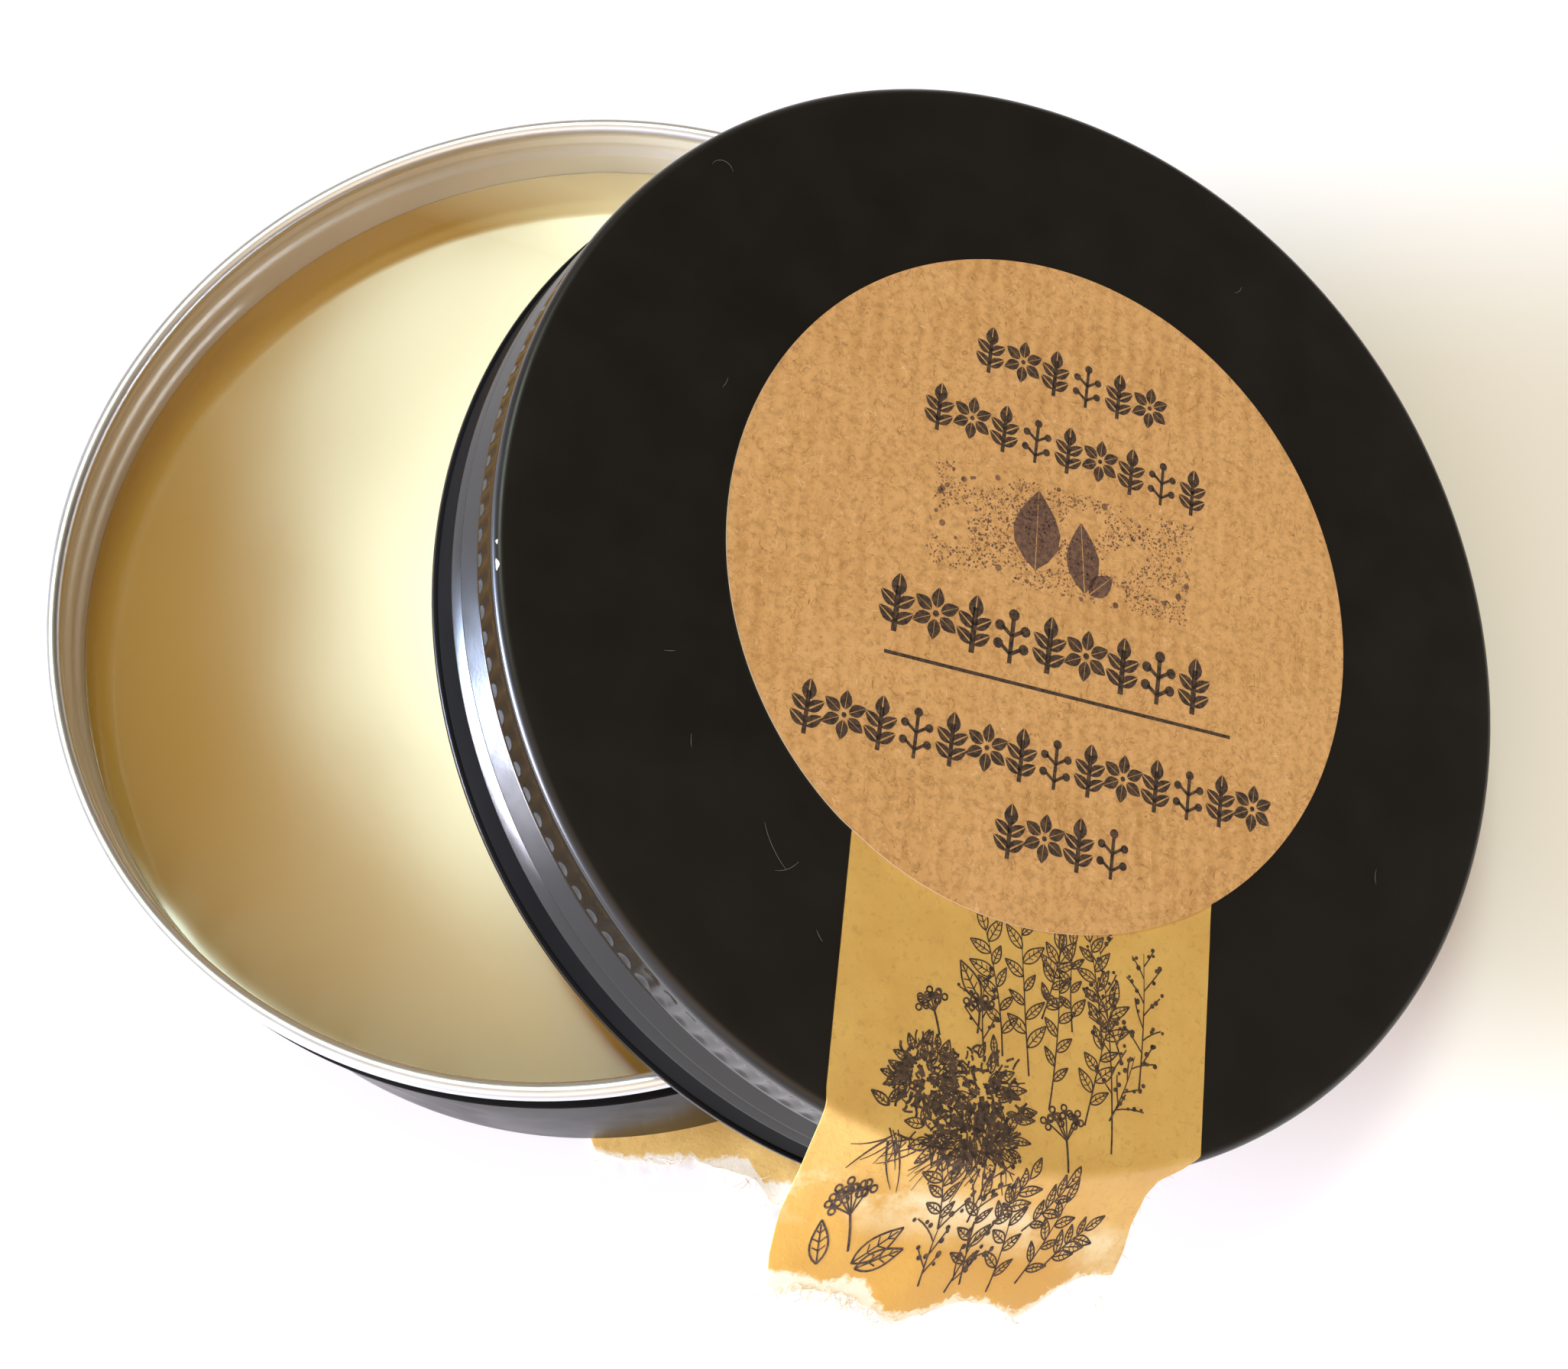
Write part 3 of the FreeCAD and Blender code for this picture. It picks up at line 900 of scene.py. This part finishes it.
# stems, each from its foot: x, y, heading, length and what it bears
for x, y, angle, length, kind in (
    (1.5, -34.0, UP + 0.15, 10.5, "leaf"), (3.2, -36.0, UP - 0.1, 11.0, "leaf"),
    (-0.6, -33.0, UP + 0.1, 8.5, "leaf"), (8.2, -38.2, UP + 0.02, 15.0, "bud"),
    (10.1, -33.6, UP - 0.05, 9.5, "bud"), (6.0, -36.6, UP - 0.2, 8.5, "leaf"),
    (-2.0, -33.0, UP + 0.2, 5.0, "bud"), (7.0, -31.4, UP + 0.1, 7.5, "leaf"),
    (4.6, -30.5, UP + 0.15, 6.0, "leaf"), (7.9, -36.0, UP - 0.5, 5.0, "bud"),
    (2.2, -30.0, UP - 0.3, 5.0, "leaf"), (8.6, -31.8, UP + 0.4, 6.0, "bud"),
    (1.0, -47.2, UP + 0.35, 5.2, "leaf"), (3.2, -47.4, UP + 0.05, 5.6, "leaf"),
    (5.0, -46.6, UP - 0.35, 5.2, "leaf"), (-1.9, -47.6, UP + 0.2, 4.2, "bud"),
    (0.2, -47.8, UP - 0.1, 3.8, "bud"), (-2.4, -44.2, UP + 0.3, 3.6, "leaf"),
    (1.2, -44.0, UP - 0.25, 3.6, "leaf"), (3.6, -43.6, UP - 0.7, 3.4, "leaf"),
    (6.6, -45.2, UP - 0.5, 3.0, "leaf"), (-0.6, -43.6, UP, 3.0, "bud"),
):
    tall = length > 6
    if kind == "leaf":
        branch(art, x, y, angle, length, rng, leaves=9 if tall else 6, size=1.9 if tall else 1.5,
               bend=rng.uniform(-0.35, 0.35))
    else:
        buds(art, x, y, angle, length, rng, twigs=9 if tall else 5)
foliage(art, -6.2, -35.4, 2.3, 2.4, rng)
foliage(art, -2.0, -35.9, 3.0, 3.3, rng)
foliage(art, -2.6, -38.6, 3.4, 1.6, rng)
roots(art, -4.4, -39.4, 8.5, rng)
umbel(art, 5.0, -40.2, UP + 0.05, 2.4, 1.8, rng)
umbel(art, -7.6, -46.2, UP + 0.35, 2.4, 1.7, rng)
umbel(art, -5.4, -32.4, UP + 0.25, 1.6, 1.1, rng, rays=5)
umbel(art, -2.6, -31.8, UP - 0.1, 1.4, 0.9, rng, rays=4)
for x, y, angle, size in (
    (-9.2, -47.2, UP + 0.35, 2.8), (-7.0, -46.9, UP - 0.75, 3.4), (-6.6, -47.2, 0.55, 3.0),
    (-2.6, -29.6, UP + 0.6, 3.0), (-8.6, -37.5, math.pi - 0.5, 1.6),
):
    leaf(art, x, y, angle, size, 0.4, rng, 0.13)
art.make("lid_strip_print", INK)


def on_label(x, y, lift):
    return (x, y, label_height(x, y) + LABEL_T + lift)


def solid_leaf(p, x, y, angle, length, plump, gap=0.07):
    """A filled leaf, its two halves parted by the midrib."""
    c, s = math.cos(angle), math.sin(angle)
    for side in (1, -1):
        outline = [(0.0, side * gap)]
        for t in (0.12, 0.3, 0.5, 0.7, 0.88):
            outline.append((t * length, side * (gap + 0.5 * plump * length * math.sin(math.pi * t ** 0.85))))
        outline.append((length, side * gap * 0.5))
        p.shape([(x + u * c - v * s, y + u * s + v * c) for u, v in outline[::side]])


def sprig_mark(p, x, y, tall, bold):
    """A stem with four leaves and one at its tip."""
    p.stroke([(x, y - tall / 2), (x, y), (x, y + tall * 0.3)], bold * 0.5)
    solid_leaf(p, x, y + tall * 0.12, UP, tall * 0.4, 0.62)
    for side in (1, -1):
        for up in (-0.34, -0.06):
            solid_leaf(p, x, y + up * tall, UP - side * 0.95, tall * 0.38, 0.5)


def flower_mark(p, x, y, tall, bold):
    """Six petals round a dot."""
    for k in range(6):
        a = TAU * k / 6 + 0.5
        near_x, near_y = x + 0.1 * tall * math.cos(a), y + 0.1 * tall * math.sin(a)
        solid_leaf(p, near_x, near_y, a, tall * 0.36, 0.62, gap=0.03)
    p.disc(x, y, bold * 0.3)


def berry_mark(p, x, y, tall, bold):
    """A bare twig with five berries."""
    p.stroke([(x, y - tall / 2), (x, y), (x, y + tall * 0.3)], bold * 0.4)
    p.disc(x, y + tall * 0.36, bold * 0.52, 10)
    for flip in (1, -1):
        for up in (-0.2, 0.12):
            p.stroke([(x, y + (up - 0.14) * tall), (x + flip * tall * 0.2, y + up * tall)], bold * 0.34)
            p.disc(x + flip * tall * 0.24, y + up * tall, bold * 0.48, 10)


def ornament_row(p, middle, half, tall, slope, bold, pitch):
    """A row of plain garden ornaments where a label carries its wording.

    half is half the row's width, tall the height of a mark and bold the weight of its lines.
    """
    marks = (sprig_mark, flower_mark, sprig_mark, berry_mark)
    count = int(2 * half / pitch) + 1
    for i in range(count):
        u = (i - (count - 1) / 2) * pitch
        marks[i % 4](p, middle[0] + u * math.cos(slope), middle[1] + u * math.sin(slope), tall, bold)


wording = Print(on_label)
ornament_row(wording, (0.4, 18.0), half=6.9, tall=3.7, slope=-0.01, bold=0.62, pitch=2.75)
ornament_row(wording, (0.8, 12.2), half=12.0, tall=3.7, slope=0.0, bold=0.62, pitch=2.7)
ornament_row(wording, (0.9, -3.3), half=12.4, tall=4.3, slope=0.02, bold=0.85, pitch=3.05)
ornament_row(wording, (1.0, -11.9), half=18.2, tall=3.9, slope=0.05, bold=0.66, pitch=2.75)
ornament_row(wording, (3.4, -17.4), half=5.3, tall=3.9, slope=0.06, bold=0.66, pitch=2.75)
wording.stroke([(-11.8 + 28.3 * t, -7.3 + 1.2 * t) for t in np.linspace(0, 1, 9)], 0.26)
wording.make("label_print", INK)

STAMP_AT = (1.2, 4.9)       # middle of the speckled patch
stamp = Print(on_label)
for _ in range(3600):
    u, v = rng.uniform(-1, 1), rng.uniform(-1, 1)
    thinned = rng.random() > 1.15 - 0.5 * max(abs(u), abs(v)) ** 3
    if thinned or noise.noise(Vector((3 * u, 2 * v, 4))) + 0.6 > 0.75:
        continue
    stamp.disc(STAMP_AT[0] + 10.8 * u, STAMP_AT[1] + 4.1 * v + 0.6 * u, 0.035 + 0.075 * rng.random() ** 2, 5)
for _ in range(26):
    a = rng.uniform(0, TAU)
    stamp.disc(STAMP_AT[0] + 10.6 * math.cos(a), STAMP_AT[1] + 4.0 * math.sin(a), rng.uniform(0.12, 0.27), 7)
stamp.make("label_stamp_speckle", FAINT)

mark = Print(on_label)
solid_leaf(mark, -0.9, 2.1, UP + 0.06, 6.2, 0.62, gap=0.05)
solid_leaf(mark, 3.3, 1.5, UP + 0.16, 5.4, 0.5, gap=0.05)
solid_leaf(mark, 3.7, 1.5, UP - 0.75, 2.6, 0.6, gap=0.05)
mark.make("label_leaf_stamp", STAMPED)


# ---- torn fibres, lint and chips -----------------------------------------------------------------
def fibre(place, x, y, angle, length, rng, rise=0.25):
    """A curved fibre whose far end stands off the surface by rise."""
    pts = bow(x, y, angle, length, rng.uniform(-1.6, 1.6), 8)
    return [place(px, py, 0.05 + rise * (i / 7) ** 2) for i, (px, py) in enumerate(pts)]


paths = []
for _ in range(130):
    x = rng.choice((rng.uniform(-11.6, 12.2), rng.uniform(-11.4, -3.0)))
    y = along_line(TEAR, x) + rng.uniform(-0.1, 0.5)
    angle = DOWN + rng.uniform(-1.1, 1.1)
    length = rng.uniform(0.3, 1.3)
    paths.append(fibre(strip_point, x, y, angle, length, rng, rise=rng.uniform(0, 0.4)))
for _ in range(16):
    y = rng.uniform(-48.0, -38.5)
    angle = rng.uniform(-1.2, 0.6)
    length = rng.uniform(0.2, 0.7)
    paths.append(fibre(strip_point, along_line(RIGHT_EDGE, y) - 0.1, y, angle, length, rng))
verts, faces = tubes(paths, 0.03)
piece("strip_fibres", verts, faces, [CREAM], "lid", at=LID_FRAME)

paths = []
for _ in range(110):
    t = rng.choice((rng.uniform(-13.5, 13.8), rng.uniform(-4.0, 9.0)))
    s = along_line(STUB_OUT, t) + rng.uniform(-0.3, 0.1)
    a = rng.uniform(-1.2, 1.2)
    pts = bow(s, t, a, rng.uniform(0.4, 1.8), rng.uniform(-1.6, 1.6), 8)
    paths.append([stub_point(px, py, 0.06 + rng.uniform(0, 0.04)) for px, py in pts])
verts, faces = tubes(paths, 0.032)
piece("base_strip_fibres", verts, faces, [CREAM], "tin_base")

paths = []
for x, y, angle, length, bend in (
    (-29.9, 24.9, 1.3, 2.2, -2.6), (-26.4, 8.2, 1.0, 0.9, 0.5), (-27.4, -11.7, 0.1, 0.8, 0.3),
    (-18.6, -21.4, -1.2, 3.4, 0.5), (-17.4, -24.4, 0.1, 1.9, 0.9), (-24.6, -16.8, -1.5, 0.9, 0.2),
    (-13.9, -27.6, -1.1, 0.9, 0.4), (14.0, 30.5, 0.4, 1.0, 1.0), (30.2, -14.0, 2.0, 1.2, -0.8),
):
    paths.append([(px, py, LID_H + 0.05) for px, py in bow(x, y, angle, length, bend)])
verts, faces = tubes(paths, 0.018)
piece("lid_lint", verts, faces, [LINT], "lid", at=LID_FRAME)

# two bare chips on the lid's top edge: bearing in degrees, height along the edge and width over it
CHIP_TILT = math.radians(38)
verts, faces = [], []
for bearing, tall, wide in ((190.8, 0.16, 0.14), (193.0, 0.38, 0.22)):
    first, n = len(verts), 12
    for lift in (0.03, -0.05):
        for i in range(n):
            a = TAU * i / n
            k = 1 + 0.25 * math.sin(3 * a + bearing)
            turn = math.radians(bearing) + k * tall * math.sin(a) / TOP_R
            tilt = CHIP_TILT + k * wide * math.cos(a) / ROUND * 0.6
            r = EDGE[0] + (ROUND + lift) * math.sin(tilt)
            verts.append((r * math.cos(turn), r * math.sin(turn), EDGE[1] + (ROUND + lift) * math.cos(tilt)))
    faces.append(tuple(range(first, first + n)))
    faces.append(tuple(range(first + 2 * n - 1, first + n - 1, -1)))
    faces += [(first + i, first + n + i, first + n + (i + 1) % n, first + (i + 1) % n) for i in range(n)]
piece("lid_edge_chips", verts, faces, [SILVER], "lid", at=LID_FRAME)


# ---- the liner keeps its CAD shape ---------------------------------------------------------------
frame["nodes"]["lid_liner"].data.materials.clear()
frame["nodes"]["lid_liner"].data.materials.append(FOAM)


# ---- stage ---------------------------------------------------------------------------------------
floor_mesh = bpy.data.meshes.new("floor")
floor_mesh.from_pydata([(-3, -3, 0), (3, -3, 0), (3, 3, 0), (-3, 3, 0)], [], [(0, 1, 2, 3)])
floor = bpy.data.objects.new("floor", floor_mesh)
bpy.context.scene.collection.objects.link(floor)
white = Nodes("floor").set(Roughness=0.6)
white.link(white.ramp(white.noise(8, 3), (0.3, 0.92), (0.7, 0.94)), "Base Color")
floor_mesh.materials.append(white.material)

world = bpy.data.worlds.new("studio")
bpy.context.scene.world = world
world.use_nodes = True
tree = world.node_tree
tree.nodes.clear()
look = tree.nodes.new("ShaderNodeTexCoord").outputs["Generated"]


def sky(kind, operation, inputs, output=0):
    """A maths node of the sky. inputs holds its values by socket."""
    node = tree.nodes.new(kind)
    node.operation = operation
    for socket, value in inputs.items():
        feed(tree, node.inputs[socket], value)
    return node.outputs[output]


def lobe(direction, width, strength, colour, edge=1.0):
    """A round light in the sky, with a firmer outline where edge is larger."""
    across = 1 - math.cos(math.radians(width))
    dot = sky("ShaderNodeVectorMath", "DOT_PRODUCT", {0: look, 1: Vector(direction).normalized()}, "Value")
    away = sky("ShaderNodeMath", "SUBTRACT", {0: 1.0, 1: dot})
    fall = sky("ShaderNodeMath", "DIVIDE", {0: away, 1: across})
    firm = sky("ShaderNodeMath", "POWER", {0: fall, 1: edge})
    shape = sky("ShaderNodeMath", "POWER", {0: 1 / math.e, 1: firm})
    return sky("ShaderNodeVectorMath", "SCALE", {0: [c * strength for c in colour], "Scale": shape}, "Vector")


def add_light(a, b):
    return sky("ShaderNodeVectorMath", "ADD", {0: a, 1: b}, "Vector")


AMBIENT = (0.46, 0.340, 0.245)
SHADE = ((0.72, 0.40, 0.56), 34, 0.9)      # a darker part of the sky: direction, width in degrees, depth
# soft lights: direction, width in degrees, strength, colour and firmness of the outline
LIGHTS = (
    ((-0.15, 0.40, 0.905), 9.86, 9.3, (0.82, 1.0, 0.84), 3.5),      # overhead, mirrored in the wax
    ((-0.16, 0.24, 0.957), 9.0, 2.0, (0.82, 1.0, 0.84), 3.0),
    ((-0.983, -0.16, 0.13), 9.5, 80.0, (0.80, 1.0, 1.40), 1.0),     # low at the left, along the lid's bands
    ((-0.93, -0.36, 0.12), 10, 76.0, (1.0, 0.97, 1.12), 1.0),
    ((0.30, -0.60, 0.74), 30, 1.42, (1.0, 0.77, 0.54), 1.0),        # warm, from the front right
    ((-0.35, -0.70, 0.45), 26, 1.2, (0.84, 0.93, 1.12), 1.0),       # cool, from the front left
)
direction, width, depth = SHADE
light = add_light(AMBIENT, lobe(direction, width, depth, tuple(-c for c in AMBIENT)))
for direction, width, strength, colour, edge in LIGHTS:
    light = add_light(light, lobe(direction, width, strength, colour, edge))
back = tree.nodes.new("ShaderNodeBackground")
tree.links.new(light, back.inputs["Color"])
out = tree.nodes.new("ShaderNodeOutputWorld")
tree.links.new(back.outputs[0], out.inputs["Surface"])


# ---- camera --------------------------------------------------------------------------------------
camera = bpy.data.objects.new("camera", bpy.data.cameras.new("camera"))
bpy.context.scene.collection.objects.link(camera)
right = Vector((0.98891, 0.13792, -0.05527)).normalized()
ahead = Vector((-0.10002, 0.34281, -0.93410)).normalized()
facing = Matrix((right, right.cross(ahead), -ahead)).transposed().to_4x4()
camera.matrix_world = Matrix.Translation((0.033666, -0.063149, 0.178861)) @ facing
camera.data.sensor_width = 36
camera.data.lens = 51.40
camera.data.clip_start = 0.01
bpy.context.scene.camera = camera
bpy.context.scene.view_settings.view_transform = "Standard"
